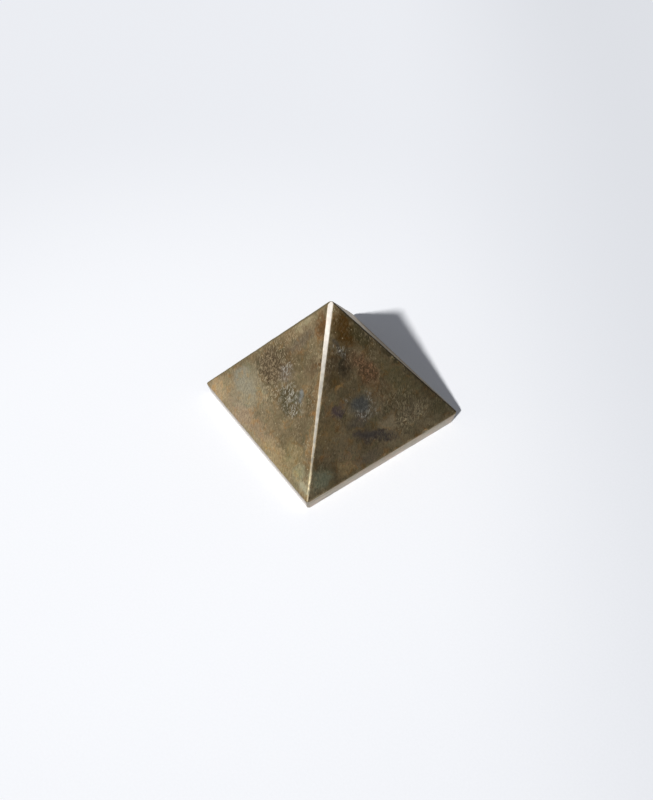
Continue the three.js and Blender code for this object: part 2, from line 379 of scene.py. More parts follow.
GROWN = {"fibrous_crystal_cluster": 0.45}
GROW = 0.15  # half the gap between a body and its pocket in the CAD part
TEST_FROM = 1.0
TEST_TO = 0.45  # a crystal cluster's core lies a little below the polish
OUTLINE_ROUNDS = 4
HOLE_ROUNDS = 20
ON_FACE = 0.3  # a point this near the plane of a face lies on it


def covered(points, tree, face, grow):
    """Whether the body's CAD solid lies under each point, or under one beside it."""
    sides = [(0.0, 0.0)]
    sides += [(grow * math.cos(a), grow * math.sin(a)) for a in np.linspace(0, 2 * math.pi, 7)[:-1]]

    def hit(point, along, up):
        start = point + along * face.along + up * face.up + TEST_FROM * face.out
        return tree.ray_cast(Vector(start), Vector(-face.out), TEST_FROM + TEST_TO)[0] is not None

    return np.array([any(hit(point, *side) for side in sides) for point in points], bool)


def owners_of(points, polygons):
    """For each face of the grid the number of its body, or NOT_BODY."""
    centres = np.array([points[list(polygon)].mean(axis=0) for polygon in polygons])
    owner = np.full(len(polygons), NOT_BODY)
    for number, (name, _, side, _) in enumerate(BODIES):
        face = FACES[side]
        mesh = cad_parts[name].data
        corners = np.array([v.co for v in mesh.vertices]) / MM
        tree = BVHTree.FromPolygons([Vector(c) for c in corners], [tuple(p.vertices) for p in mesh.polygons])
        grow = GROWN.get(name, GROW)
        box, flat = face.flat(corners)[:, :2], face.flat(centres)
        near = (flat[:, :2] > box.min(axis=0) - grow) & (flat[:, :2] < box.max(axis=0) + grow)
        picked = np.nonzero(near.all(axis=1) & (abs(flat[:, 2]) < ON_FACE))[0]
        owner[picked[covered(centres[picked], tree, face, grow)]] = number
    return owner


def edges_of(polygons):
    """Each edge with the faces beside it."""
    found = {}
    for number, polygon in enumerate(polygons):
        for a, b in zip(polygon, polygon[1:] + polygon[:1]):
            found.setdefault((min(a, b), max(a, b)), []).append(number)
    return found


def groups_of(owner, edges):
    """For each face the number of its connected group, all of one owner."""
    parent = list(range(len(owner)))

    def root(i):
        while parent[i] != i:
            parent[i] = parent[parent[i]]
            i = parent[i]
        return i

    for pair in edges.values():
        if len(pair) == 2 and owner[pair[0]] == owner[pair[1]]:
            parent[root(pair[0])] = root(pair[1])
    return np.array([root(i) for i in range(len(owner))])


def apart(group, mine):
    """Which of the faces marked as mine lie outside their largest group."""
    names, counts = np.unique(group[mine], return_counts=True)
    return mine & (group != names[counts.argmax()])


def tidied(owner, edges):
    """Each body keeps its largest group of faces, and fills the holes in it."""
    group = groups_of(owner, edges)
    for number in range(len(BODIES)):
        owner[apart(group, owner == number)] = NOT_BODY
    holes = apart(groups_of(owner, edges), owner == NOT_BODY)
    for _ in range(HOLE_ROUNDS):
        for pair in edges.values():
            if len(pair) == 2 and holes[pair[0]] != holes[pair[1]]:
                hole, beside = pair if holes[pair[0]] else pair[::-1]
                if owner[beside] != NOT_BODY:
                    owner[hole] = owner[beside]
                    holes[hole] = False
    return owner


def smooth_outlines(points, owner, edges):
    """Evens the outlines of the bodies."""
    beside = {}
    for (a, b), pair in edges.items():
        if len(pair) == 2 and owner[pair[0]] != owner[pair[1]]:
            beside.setdefault(a, []).append(b)
            beside.setdefault(b, []).append(a)
    plain = {a: ends for a, ends in beside.items() if len(ends) == 2}
    for _ in range(OUTLINE_ROUNDS):
        moved = [points[a] / 2 + (points[b] + points[c]) / 4 for a, (b, c) in plain.items()]
        points[list(plain)] = moved
    return points


# Relief: how far the real surface lies below the worn planes

WAVES = ((11.0, 0.03, 21), (4.2, 0.012, 22), (1.3, 0.003, 23))  # size, depth and seed of the hand polish
GRAIN = 0.002  # its depth
PIT_LEVEL = 0.66
PIT_DEPTH = 0.0012

# The chips of the CAD part: face, along, up, span, width, depth and turn
CHIPS = (
    (RIGHT, 13.4, 0, 1.7, 0.7, 0.45, 4),
    (RIGHT, 11.45, 23.73, 1.1, 0.6, 0.4, -60),
    (RIGHT, 12.6, 21.87, 0.8, 0.5, 0.3, -60),
)
WEAR_CHIPS = 44
WEAR_CHIP_SPAN = (0.2, 0.6)
WEAR_CHIP_WIDTH = 0.4  # a share of its span, and so is the depth
WEAR_CHIP_DEPTH = (0.12, 0.3)


def edge_chips():
    """Seeded chips along the girdle and the hips."""
    draw = np.random.default_rng(7)
    made = []
    for _ in range(WEAR_CHIPS):
        side = int(draw.integers(4))
        span = draw.uniform(*WEAR_CHIP_SPAN)
        share = draw.uniform(0.03, 0.97)
        half = np.linalg.norm(GIRDLE[(side + 1) % 4] - GIRDLE[side]) / 2
        tall = (APEX - FACES[side].middle) @ FACES[side].up
        hip = math.degrees(math.atan2(tall, half))
        along, up, turn = (
            (half * (2 * share - 1), 0.0, 0.0),
            (half * (share - 1), tall * share, hip),
            (half * (1 - share), tall * share, -hip),
        )[draw.integers(3)]
        deep = span * draw.uniform(*WEAR_CHIP_DEPTH)
        made.append((side, along, up, span, span * WEAR_CHIP_WIDTH, deep, turn + draw.uniform(-9, 9)))
    return made


ALL_CHIPS = [*CHIPS, *edge_chips()]


def chip_depth(points):
    """How far each point sinks into the chips."""
    depth = np.zeros(len(points))
    for side, along, up, span, width, deep, turn in ALL_CHIPS:
        offset = points - FACES[side].place(along, up)
        near = np.linalg.norm(offset, axis=1) < span
        local = offset[near] @ FACES[side].turned(turn)
        inside = 1 - (local[:, 0] * 2 / span) ** 2 - (local[:, 1] * 2 / width) ** 2
        bowl = deep * np.sqrt(np.clip(inside, 0, 1)) + np.minimum(local[:, 2], 0)
        depth[near] = np.maximum(depth[near], np.where(inside > 0, bowl, 0))
    return depth


def stone_relief(points):
    """Depth below the worn planes, and how much of it is pits and chips."""
    depth = np.zeros(len(points))
    for size, amount, seed in WAVES:
        depth += amount * (noise_at(points, size, seed) * 0.5 + 0.5)
    depth += GRAIN * noise_at(points, 0.45, 24)
    patchy = np.clip(noise_at(points, 6.5, 25) * 0.6 + 0.45, 0, 1)
    pits = np.clip(noise_at(points, 1.0, 26) - PIT_LEVEL, 0, 1) / (1 - PIT_LEVEL)
    hollow = PIT_DEPTH * pits * patchy + chip_depth(points)
    return np.clip(depth, 0, None) + hollow, hollow


# Crystals that a cluster's polished surface cuts through

# Per body: crystals to a square millimetre, length, width, tilt, gap depth, and how rare the bright ones are
CLUSTERS = {
    "russet_crystal_cluster": (5, (0.3, 0.8), (0.12, 0.2), 0.08, 0.03, 3),
    "fibrous_crystal_cluster": (4, (0.6, 1.6), (0.1, 0.16), 0.08, 0.03, 3),
    "coarse_crystal_cluster": (5, (0.35, 1), (0.12, 0.2), 0.08, 0.03, 3.4),
    "silver_fleck_cluster": (4, (0.3, 0.9), (0.14, 0.28), 0.09, 0.03, 3.4),
    "silver_vein": (1.8, (0.7, 1.4), (0.26, 0.5), 0.08, 0.03, 1.6),
    "blue_grey_mass": (1, (0.3, 0.8), (0.15, 0.3), 0.06, 0.03, 4),
    "violet_grey_band": (1, (0.3, 0.9), (0.15, 0.3), 0.05, 0.02, 4),
    "pale_grey_mass": (1.6, (0.6, 1.6), (0.1, 0.2), 0.05, 0.02, 2.5),
    "slate_spot": (1, (0.3, 0.8), (0.15, 0.3), 0.05, 0.02, 3),
}
FAN = "fibrous_crystal_cluster"
FAN_HUB = (11.2, 5.8)  # where the needles meet on the right face
FAN_SPREAD = 0.12
STEEP = 0.7  # how a crystal's sides fall off


def crystal_relief(flat, name, seed):
    """Depth and shine of a cluster at places on its face."""
    density, lengths, widths, tilt, gap, rarity = CLUSTERS[name]
    draw = np.random.default_rng(seed)
    low, high = flat.min(axis=0), flat.max(axis=0)
    depth, shine = np.full(len(flat), gap), np.zeros(len(flat))
    for _ in range(int(density * np.prod(high - low))):
        place = draw.uniform(low, high)
        length, width = draw.uniform(*lengths), draw.uniform(*widths)
        turn = draw.uniform(0, math.pi)
        if name == FAN:
            turn = math.atan2(place[1] - FAN_HUB[1], place[0] - FAN_HUB[0]) + draw.normal(0, FAN_SPREAD)
        top = draw.uniform(0, 0.35) * gap
        lean = draw.normal(0, tilt, 2)
        bright = draw.uniform(0, 1) ** rarity
        along = (flat - place) @ np.array([math.cos(turn), math.sin(turn)])
        across = (flat - place) @ np.array([-math.sin(turn), math.cos(turn)])
        out = np.maximum(abs(along) - length / 2, abs(across) - width / 2)
        here = top + lean[0] * along * 0.3 + lean[1] * across + np.clip(out, 0, None) * STEEP
        here = np.where(out < width, np.clip(here, 0, None), gap)
        won = here < depth
        depth[won] = here[won]
        shine[won & (out < 0.03)] = bright
    return depth, shine


# Meshes

def added(name, data):
    """An object with the data, in the scene."""
    thing = bpy.data.objects.new(name, data)
    scene.collection.objects.link(thing)
    return thing


def new_mesh(name, points, faces):
    """An object of points in millimetres."""
    mesh = bpy.data.meshes.new(name)
    mesh.from_pydata((np.array(points) * MM).tolist(), [], faces)
    return added(name, mesh)


def finished(name, points, faces, slot, node, values, sharp):
    """A visible piece, riding on the CAD body."""
    piece = new_mesh(name, points, faces)
    mesh = piece.data
    mesh.polygons.foreach_set("use_smooth", np.ones(len(mesh.polygons), bool))
    for label, numbers in values.items():
        layer = mesh.attributes.new(label, "FLOAT", "POINT")
        layer.data.foreach_set("value", np.asarray(numbers, np.float32))
    wanted = {(min(edge), max(edge)) for edge in sharp}
    marks = [(min(e.vertices), max(e.vertices)) in wanted for e in mesh.edges]
    mesh.attributes.new("sharp_edge", "BOOLEAN", "EDGE").data.foreach_set("value", marks)
    mesh.validate()
    mesh.update()
    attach(piece, "root")
    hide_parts(node)
    return piece


def outline_of(faces):
    """The edges on the rim of a patch, each in its own face's direction."""
    seen = dict.fromkeys((a, b) for polygon in faces for a, b in zip(polygon, polygon[1:] + polygon[:1]))
    return [(a, b) for a, b in seen if (b, a) not in seen]


def distance_in(points, rim_points):
    """How far each point lies inside the rim."""
    tree = KDTree(len(rim_points))
    for number, point in enumerate(rim_points):
        tree.insert(Vector(point), number)
    tree.balance()
    return np.array([tree.find(Vector(point))[2] for point in points])


def refined(points, faces, rounds):
    """The patch cut finer inside its rim. Its own points stay the first ones."""
    grid = bmesh.new()
    corners = [grid.verts.new(Vector(point)) for point in points]
    for polygon in faces:
        grid.faces.new([corners[i] for i in polygon])
    for _ in range(rounds):
        inner = [edge for edge in grid.edges if not edge.is_boundary]
        bmesh.ops.subdivide_edges(grid, edges=inner, cuts=1, use_grid_fill=True)
    grid.verts.index_update()
    made = np.array([v.co for v in grid.verts])
    found = [tuple(v.index for v in polygon.verts) for polygon in grid.faces]
    grid.free()
    return made, found


def lowered(points, relief):
    """The points sunk by their relief."""
    _, out, shares = level_at(points, sharpness_at(points))
    out /= np.linalg.norm(out, axis=1)[:, None]
    return points - out * relief[:, None], shares


WALL = 0.25  # depth of a pocket at its rim
FLOOR_SLOPE = 1.3
CLEARANCE = 0.02
FINER = {"pale_grey_mass": 1, "violet_grey_band": 1, "blue_grey_mass": 1, "slate_spot": 1}
BORDER = 0.8  # a cluster's own relief grows from nothing over this width


def renumbered(faces, index):
    return [tuple(index[i] for i in polygon) for polygon in faces]


class Patch:
    """One body's faces of the grid, with new numbers for their points."""

    def __init__(self, points, polygons, owner, number, first):
        mine = [polygons[i] for i in np.nonzero(owner == number)[0]]
        used = sorted({i for polygon in mine for i in polygon})
        index = {old: first + new for new, old in enumerate(used)}
        self.points = points[used]
        self.faces = renumbered(mine, index)
        self.grid_rim = outline_of(mine)
        self.rim = renumbered(self.grid_rim, index)
        self.rim_points = points[sorted({a for a, _ in self.grid_rim})]

    def floor(self, face, deep, gap):
        """The points sunk to a gap above the pocket's floor."""
        depth = np.minimum(deep, WALL + FLOOR_SLOPE * distance_in(self.points, self.rim_points)) - gap
        return self.points - depth[:, None] * face.out


def make_body(number, points, polygons, owner):
    """One mineral body: its polished top, its walls and its floor."""
    name, slot, side, deep = BODIES[number]
    patch = Patch(points, polygons, owner, number, 0)
    top, faces = refined(patch.points, patch.faces, FINER.get(name, 2))
    inset = distance_in(top, patch.rim_points)
    depth, hollow = stone_relief(top)
    own, shine = crystal_relief(FACES[side].flat(top)[:, :2], name, 100 + number)
    share = np.clip(inset / BORDER, 0, 1)
    relief = depth * (1 - share) + (own + depth * 0.5) * share
    floor = patch.floor(FACES[side], deep, CLEARANCE)
    start = len(top)
    faces += [tuple(start + i for i in reversed(polygon)) for polygon in patch.faces]
    faces += [(a, start + a, start + b, b) for a, b in patch.rim]
    sharp = patch.rim + [(start + a, start + b) for a, b in patch.rim]
    values = {"inset": inset, "shine": shine * share, "hollow": relief * share + hollow * (1 - share)}
    values = {label: np.pad(numbers, (0, len(floor))) for label, numbers in values.items()}
    made = np.concatenate([lowered(top, relief)[0], floor])
    return finished(name + "_cut", made, faces, slot, name, values, sharp)


def make_stone(points, polygons, owner):
    """The stone, with a pocket for each body."""
    depth, hollow = stone_relief(points)
    made, shares = lowered(points, depth)
    faces = [polygons[i] for i in np.nonzero(owner == NOT_BODY)[0]]
    floors, sharp = [], []
    start = len(points)
    for number, (_, _, side, deep) in enumerate(BODIES):
        patch = Patch(points, polygons, owner, number, start)
        floors.append(patch.floor(FACES[side], deep, 0.0))
        faces += patch.faces
        faces += [(a, b, low_b, low_a) for (a, b), (low_a, low_b) in zip(patch.grid_rim, patch.rim)]
        sharp += patch.grid_rim + patch.rim
        start += len(patch.points)
    used = sorted({i for polygon in faces for i in polygon})
    index = {old: new for new, old in enumerate(used)}
    in_floors = (0, start - len(points))
    shares = np.pad(shares, (in_floors, (0, 0)))[used]
    values = {name: shares[:, rows].sum(axis=1) for name, rows in FLAT_ROWS.items()}
    values["rim"] = 1 - shares.max(axis=1)
    values["hollow"] = np.pad(hollow, in_floors)[used]
    made = np.concatenate([made, *floors])[used]
    return finished("stone", made, renumbered(faces, index), "pyrite", "pyrite_body", values,
                    renumbered(sharp, index))


def make_pieces():
    owner = owners_of(POINTS, POLYGONS)
    edges = edges_of(POLYGONS)
    owner = tidied(owner, edges)
    points = smooth_outlines(POINTS.copy(), owner, edges)
    pieces = {"pyrite_body": make_stone(points, POLYGONS, owner)}
    for number, (name, _, _, _) in enumerate(BODIES):
        pieces[name] = make_body(number, points, POLYGONS, owner)
    return pieces


PIECES = make_pieces()


# Colours

def paint(red, green, blue):
    """A screen colour, 0 to 255, as the shader takes it."""
    shares = [channel / 255 for channel in (red, green, blue)]
    return tuple(c / 12.92 if c < 0.04045 else ((c + 0.055) / 1.055) ** 2.4 for c in shares)


# Zones of colour in the polish of each face: along, up, half length, half width, turn, colour, strength
ZONES = {
    LEFT: [
        (0, 0.2, 26, 1.8, 0, (152, 138, 106), 0.7),
        (-19, 2, 6.2, 4.2, 20, (172, 151, 118), 0.8),
        (-8.7, 2.2, 5.8, 3.6, 0, (160, 140, 116), 0.8),
        (-11.6, 13.8, 5, 3.5, 40, (138, 129, 104), 0.75),
        (-14.5, 10.3, 4, 3, 30, (140, 136, 120), 0.8),
        (-9.5, 8.5, 8, 5.5, 30, (154, 145, 121), 0.7),
        (-5, 30.5, 5, 3, 60, (125, 106, 78), 0.75),
        (-3.9, 34.5, 4, 1.8, 60, (160, 148, 118), 0.6),
        (-1.6, 31, 7, 2.1, 62, (100, 89, 74), 0.7),
        (-6.5, 20.5, 8, 5.5, 50, (84, 71, 52), 0.9),
        (0.5, 25.5, 7, 3, 60, (92, 80, 57), 0.75),
        (-1.6, 21, 4.2, 3, 20, (104, 92, 79), 0.8),
        (6.6, 19.4, 2.2, 1.5, 60, (103, 103, 95), 0.75),
        (6.4, 28.8, 2.4, 4.5, -30, (94, 78, 57), 0.85),
        (4.5, 16.5, 5, 5, 0, (82, 73, 52), 0.8),
        (10.5, 21, 5, 2.2, -60, (92, 78, 56), 0.8),
        (12.1, 12.9, 6, 3.5, -60, (100, 87, 64), 0.75),
        (-2.6, 9.8, 4.6, 2.6, 0, (134, 120, 94), 0.75),
        (0.5, 3.2, 11.5, 3.3, 0, (155, 134, 107), 0.7),
        (10, 2.4, 7.5, 3.3, 0, (156, 136, 100), 0.8),
        (14, 6.5, 4, 4, -60, (140, 126, 90), 0.6),
        (18.5, 3.6, 2.8, 2.6, 0, (149, 144, 114), 0.75),
        (21.9, 2.1, 2.2, 1.6, 0, (168, 162, 134), 0.8),
        (13.4, 19, 17, 0.7, -60, (128, 100, 66), 0.45),
        (1.5, 38, 3.4, 1.8, -60, (98, 69, 40), 0.92),
    ],
    RIGHT: [
        (2, 36, 6.5, 4.4, 80, (80, 58, 26), 1),
        (5.6, 31.6, 6, 2.6, -60, (74, 66, 42), 0.9),
        (-5, 28.5, 5.5, 2.6, 65, (80, 66, 47), 0.85),
        (-1.2, 27.6, 4.4, 2.6, 70, (58, 49, 37), 0.9),
        (-5, 35.5, 14, 1.8, 61.6, (54, 45, 32), 0.5),
        (-6.2, 24.8, 3, 2, 60, (98, 83, 54), 0.8),
        (-5.7, 22.8, 1.6, 1, 0, (176, 138, 86), 0.6),
        (-10.5, 16.5, 4.5, 3, 60, (134, 115, 84), 0.75),
        (-13.6, 13.5, 4, 3, 60, (136, 116, 79), 0.65),
        (3.8, 23.5, 6, 3.2, -62, (120, 92, 66), 0.75),
        (4.5, 16.8, 3, 2.4, 0, (128, 108, 80), 0.75),
        (11, 17, 9, 3.5, -60, (112, 103, 73), 0.75),
        (-1.6, 16, 4, 3.6, 0, (100, 99, 91), 0.8),
        (-8.2, 17.6, 2.2, 1.6, 0, (89, 76, 82), 0.8),
        (-2.6, 12.4, 4.2, 1.8, -10, (116, 106, 94), 0.75),
        (2.4, 12.9, 2.6, 2.4, 0, (134, 120, 96), 0.75),
        (8.2, 12.2, 3.4, 2.6, 0, (116, 104, 78), 0.6),
        (12, 6, 6, 5, 0, (130, 118, 92), 0.55),
        (4.2, 7.8, 3, 2.8, 0, (168, 150, 120), 0.85),
        (5.2, 1.8, 5, 2, 0, (148, 132, 103), 0.55),
        (-9.3, 10.4, 4.6, 3, 0, (144, 127, 98), 0.75),
        (-0.2, 6.3, 6.8, 1.8, -31, (86, 79, 73), 0.92),
        (-9.4, 6, 3.8, 2.2, 0, (140, 126, 98), 0.85),
        (-4.6, 2.2, 5, 1.8, 0, (128, 114, 94), 0.75),
        # This long narrow zone along the right hip is a painted dark reflection
        (12.9, 21.5, 25, 0.9, -60, (76, 69, 49), 0.6),
        (-11.5, 3.2, 3.4, 2.6, 0, (166, 142, 102), 0.75),
        (-19.6, 3.6, 3.4, 4, -50, (138, 140, 116), 0.8),
        (20.5, 4, 3.6, 3, -60, (100, 94, 68), 0.75),
    ],
    BACK: [
        # This zone is painted shade over the upper back face's bright glancing reflection
        (-5.5, 33, 12, 1.8, 60, (70, 62, 46), 0.85),
        (-8, 12, 8, 5, 24, (112, 100, 78), 0.7),
        (6, 20, 6, 4, -50, (142, 120, 84), 0.6),
        (12, 6, 6, 3, 10, (104, 88, 66), 0.7),
        (-15, 4, 5, 3, 0, (140, 136, 108), 0.6),
    ],
    FAR_LEFT: [
        (8, 12, 8, 5, -24, (150, 132, 98), 0.7),
        (-6, 18, 6, 4, 50, (104, 90, 68), 0.7),
        (-12, 5, 6, 3, -10, (110, 102, 88), 0.7),
        (2, 30, 4, 3, 70, (134, 106, 70), 0.6),
    ],
}
ZONE_REACH = 1.6  # how far a zone reaches out of its face
ZONE_EDGE = 1.25  # a zone ends this far out, in its own half lengths
ZONE_FADE = 0.72  # the share of that distance over which it fades

POLISH_DARK = paint(108, 95, 70)
POLISH_MID = paint(132, 116, 88)
POLISH_LIGHT = paint(156, 140, 110)

# Blotches in the polish: shift, size, threshold, strength and colour. The tints lie over the zones too.
BLOTCHES = (
    ((0, 0, 0), 5, 0.52, 0.7, POLISH_LIGHT),
    ((31, 7, 3), 5.5, 0.54, 0.45, paint(138, 102, 64)),
    ((5, 41, 9), 6.5, 0.55, 0.45, paint(118, 114, 84)),
)
TINTS = (
    ((17, 3, 23), 2.1, 0.5, 0.85, (1.2, 0.96, 0.72)),
    ((3, 29, 13), 1.9, 0.5, 0.85, (0.86, 0.95, 0.92)),
    ((43, 11, 37), 1.9, 0.52, 0.7, (0.8, 0.76, 0.72)),
    ((7, 53, 19), 1.7, 0.54, 0.8, (1.18, 1.2, 1.22)),
)

# Where fine bright strokes crowd the polish, in the same way. The strokes are crystal grain, partly painted
# glints.
GOLD_STROKE = (204, 186, 150)
SILVER_STROKE = (226, 221, 206)
RUSSET_STROKE = (190, 144, 108)
STROKE_ZONES = {
    LEFT: [
        (-6, 20, 8.5, 6, 50, GOLD_STROKE, 0.8),
        (-8, 24.5, 5, 3.2, 50, GOLD_STROKE, 0.65),
        (-2.5, 13.5, 4.5, 3.5, 40, GOLD_STROKE, 0.7),
        (4.4, 16.8, 6.6, 4.4, -10, SILVER_STROKE, 0.62),
        (-1.2, 22, 3.6, 2.4, 20, SILVER_STROKE, 0.2),
        (-4.5, 31, 5, 2.4, 60, GOLD_STROKE, 0.5),
    ],
    RIGHT: [
        (3.8, 24, 6, 3, -62, RUSSET_STROKE, 0.9),
        (-1.6, 31, 4, 1.6, -65, SILVER_STROKE, 0.5),
        (-1.2, 13.2, 5, 1.8, -15, SILVER_STROKE, 0.9),
        (1.4, 16.4, 1.4, 3.2, 0, SILVER_STROKE, 0.6),
        (-4, 18.6, 2.2, 1.6, 0, SILVER_STROKE, 0.45),
        (-9.5, 5.5, 4.5, 3.4, 0, RUSSET_STROKE, 0.55),
        (9, 12.5, 7, 5, -40, GOLD_STROKE, 0.85),
        (11.5, 6, 8, 4.5, 0, GOLD_STROKE, 0.9),
    ],
    BACK: [
        (3, 16, 8, 6, 30, GOLD_STROKE, 0.5),
    ],
    FAR_LEFT: [
        (-4, 14, 8, 6, -30, GOLD_STROKE, 0.5),
    ],
}
STROKE_STRENGTH = 0.9
POLISH_ROUGHNESS = (0.325, 0.365)

# Stroke sets: direction in degrees, length and width of the cells, share of the cells that are drawn
STROKE_SETS = (
    (30, 1.3, 0.3, 0.4),
    (50, 1.7, 0.32, 0.42),
    (66, 1.5, 0.3, 0.45),
    (84, 1.8, 0.32, 0.42),
    (112, 1.3, 0.3, 0.38),
)
# Bright specks: painted glints
SPECK_SPACING = 0.62
SPECK_SHARE = 0.05
SPECK_STRENGTH = 0.6
GRAIN_TURN = 62  # the grain runs up the front hip, on both sides of it
GRAIN_STRETCH = (1.6, 0.75, 1)
FACES_APART = 80  # keeps the strokes of neighbouring faces from matching
SLOPE_STRETCH = 0.727  # turns height less distance from the axis into distance up a slope
FACE_RISE = 0.62  # how far a face's outward direction rises for each millimetre that it leads out
NEEDLE_LENGTH = 2.6
NEEDLES_ROUND = 6.5  # to a radian
NEEDLES_FADE = (8.5, 2.5)  # distances from the hub at which they are gone and whole

# The front hip flat's painted highlight: pale at the point, darker towards the foot
FRONT_FLAT_HIGHLIGHT_TOP = (0.455, 0.425, 0.388)
FRONT_FLAT_HIGHLIGHT_MIDDLE = (0.262, 0.245, 0.212)
FRONT_FLAT_HIGHLIGHT_FOOT = (0.13, 0.118, 0.09)
PALE_FLAT_COLOUR = paint(118, 107, 80)
# The right hip flat is painted dark: a painted dark reflection
RIGHT_FLAT_DARK_REFLECTION = paint(60, 54, 40)
# A painted dark reflection laid along the rounded edges
EDGE_PAINTED_REFLECTION = paint(68, 60, 44)
# The band on the lamp's side is painted paler than the others: painted sunlight
LEFT_BAND_PAINTED_SUN_FOOT = (0.74, 0.71, 0.68)
LEFT_BAND_PAINTED_SUN_TOP = (0.36, 0.335, 0.31)
BAND_FOOT = (0.43, 0.385, 0.335)
BAND_TOP = (0.31, 0.27, 0.21)
BAND_WARM = (1.06, 0.99, 0.97)
BAND_COOL = (0.96, 0.985, 0.985)
SAWN_STRETCH = (0.16, 0.16, 1.5)  # the saw marks run along the band
FRONT_CORNER_COLOUR = (0.24, 0.215, 0.18)
HOLLOW_COLOUR = paint(80, 72, 58)

# Each body's colours: its ground, its crystals and its gaps, the gaps' darker colour being painted shade.
# Then its roughness, how far in from its outline its colour fades in, how much of the polish it hides, and
# how bright its largest crystals are, partly as painted glints.
BODY_LOOKS = {
    "silver_vein": ((92, 83, 68), (206, 200, 186), (80, 70, 54), 0.3, 0.6, 0.95, 0.8),
    "russet_crystal_cluster": ((94, 75, 54), (172, 132, 100), (80, 62, 44), 0.38, 1.4, 0.8, 0.6),
    "blue_grey_mass": ((105, 105, 100), (140, 141, 138), (88, 88, 84), 0.34, 1.2, 0.85, 0.5),
    "violet_grey_band": ((86, 79, 73), (108, 100, 94), (74, 67, 62), 0.36, 1.2, 0.85, 0.5),
    "fibrous_crystal_cluster": ((109, 97, 78), (184, 168, 136), (96, 85, 64), 0.36, 1.6, 0.7, 0.5),
    "coarse_crystal_cluster": ((88, 75, 56), (186, 164, 130), (74, 62, 46), 0.38, 1.6, 0.85, 0.5),
    "pale_grey_mass": ((150, 143, 122), (168, 164, 148), (138, 130, 108), 0.3, 2, 0.8, 0.5),
    "silver_fleck_cluster": ((77, 70, 48), (210, 201, 178), (82, 75, 57), 0.34, 0.8, 0.9, 0.6),
    "slate_spot": ((126, 128, 125), (160, 162, 158), (116, 114, 105), 0.3, 1, 0.85, 0.6),
}


# Shader nodes. Each call adds one to the tree that begin was last given, and an input can be a number, a
# colour, a vector or another node's output.

def begin(tree):
    global TREE
    TREE = tree
    tree.nodes.clear()


def add(kind, inputs=None, **settings):
    """A new node's outputs."""
    node = TREE.nodes.new("ShaderNode" + kind)
    for name, value in settings.items():
        setattr(node, name, value)
    for name, value in (inputs or {}).items():
        feed(node.inputs[name], value)
    return node.outputs


def feed(socket, value):
    if isinstance(value, bpy.types.NodeSocket):
        TREE.links.new(value, socket)
    elif socket.type == "RGBA":
        socket.default_value = (*value, 1)
    else:
        socket.default_value = value


def maths(operation, a, b=0):
    return add("Math", {0: a, 1: b}, operation=operation)[0]


plus = partial(maths, "ADD")
minus = partial(maths, "SUBTRACT")
times = partial(maths, "MULTIPLY")
larger = partial(maths, "MAXIMUM")


def vectors(operation, a, b):
    return add("VectorMath", {0: a, 1: b}, operation=operation)[0]


def length_of(a):
    return add("VectorMath", {0: a}, operation="LENGTH")["Value"]


def scaled(a, factor):
    return add("VectorMath", {0: a, "Scale": factor}, operation="SCALE")[0]


def parts_of(vector):
    return add("SeparateXYZ", {0: vector})


def joined(x, y, z=0):
    return add("CombineXYZ", {0: x, 1: y, 2: z})[0]


def mapped(vector, shift, turn, scale):
    """The vector in a frame that is shifted, turned and scaled."""
    inputs = {"Vector": vector, "Location": shift, "Rotation": turn, "Scale": scale}
    return add("Mapping", inputs, vector_type="TEXTURE")[0]


def ramp(value, low, high, to_low=0, to_high=1):
    """The value taken smoothly from low..high to to_low..to_high."""
    inputs = dict(enumerate((value, low, high, to_low, to_high)))
    return add("MapRange", inputs, interpolation_type="SMOOTHSTEP", clamp=False)[0]


def mixed(share, a, b):
    """Number a, going over to number b with the share."""
    return add("Mix", {0: share, 2: a, 3: b}, data_type="FLOAT")[0]


def blend(share, a, b, kind="MIX"):
    """Colour a, going over to colour b with the share, or to a times b for MULTIPLY."""
    return add("Mix", {0: share, 6: a, 7: b}, data_type="RGBA", blend_type=kind)[2]


def part_place():
    """The place on the part in millimetres."""
    return scaled(add("TexCoord")["Object"], 1 / MM)


def bumps(place, size, detail=3, rough=0.6):
    """Noise about 0.5."""
    inputs = {"Vector": place, "Scale": 1 / size, "Detail": detail, "Roughness": rough}
    return add("TexNoise", inputs)["Fac"]


def random_shift(place, size, reach):
    """A shift of up to about the reach."""
    colour = add("TexNoise", {"Vector": place, "Scale": 1 / size, "Detail": 2})["Color"]
    return scaled(vectors("SUBTRACT", colour, (0.5, 0.5, 0.5)), 2 * reach)


def stored(name):
    return add("Attribute", attribute_name=name)["Fac"]


def side_of(place):
    """The place's parts, how far out it lies to its side, and 1 where that side faces along x."""
    x, y, z = parts_of(place)
    wide, deep = maths("ABSOLUTE", x), maths("ABSOLUTE", y)
    return x, y, z, larger(wide, deep), maths("GREATER_THAN", wide, deep)


def on_slope(place):
    """The place as distances along and up its face, along being mirrored on two of them."""
    x, y, z, out, on_x = side_of(place)
    along = mixed(on_x, times(x, -1), plus(y, FACES_APART))
    return joined(along, times(minus(z, out), SLOPE_STRETCH))


def within_face(place, shift):
    """The shift without the part of it that leads out of the place's face."""
    x, y, _, _, on_x = side_of(place)
    side_x = times(maths("SIGN", x), on_x)
    side_y = times(maths("SIGN", y), minus(1, on_x))
    out = joined(side_x, side_y, FACE_RISE)
    return vectors("SUBTRACT", shift, vectors("PROJECT", shift, out))


def cell_strokes(flat, chance):
    """Cells drawn as soft strokes, some bright and most faint."""
    cells = add("TexVoronoi", {"Vector": flat, "Scale": 1}, voronoi_dimensions="2D")
    picked = add("SeparateColor", {"Color": cells["Color"]})[0]
    drawn = ramp(cells["Distance"], 0.42, 0.14)
    return times(drawn, maths("POWER", ramp(picked, 1 - chance, 1), 1.5))


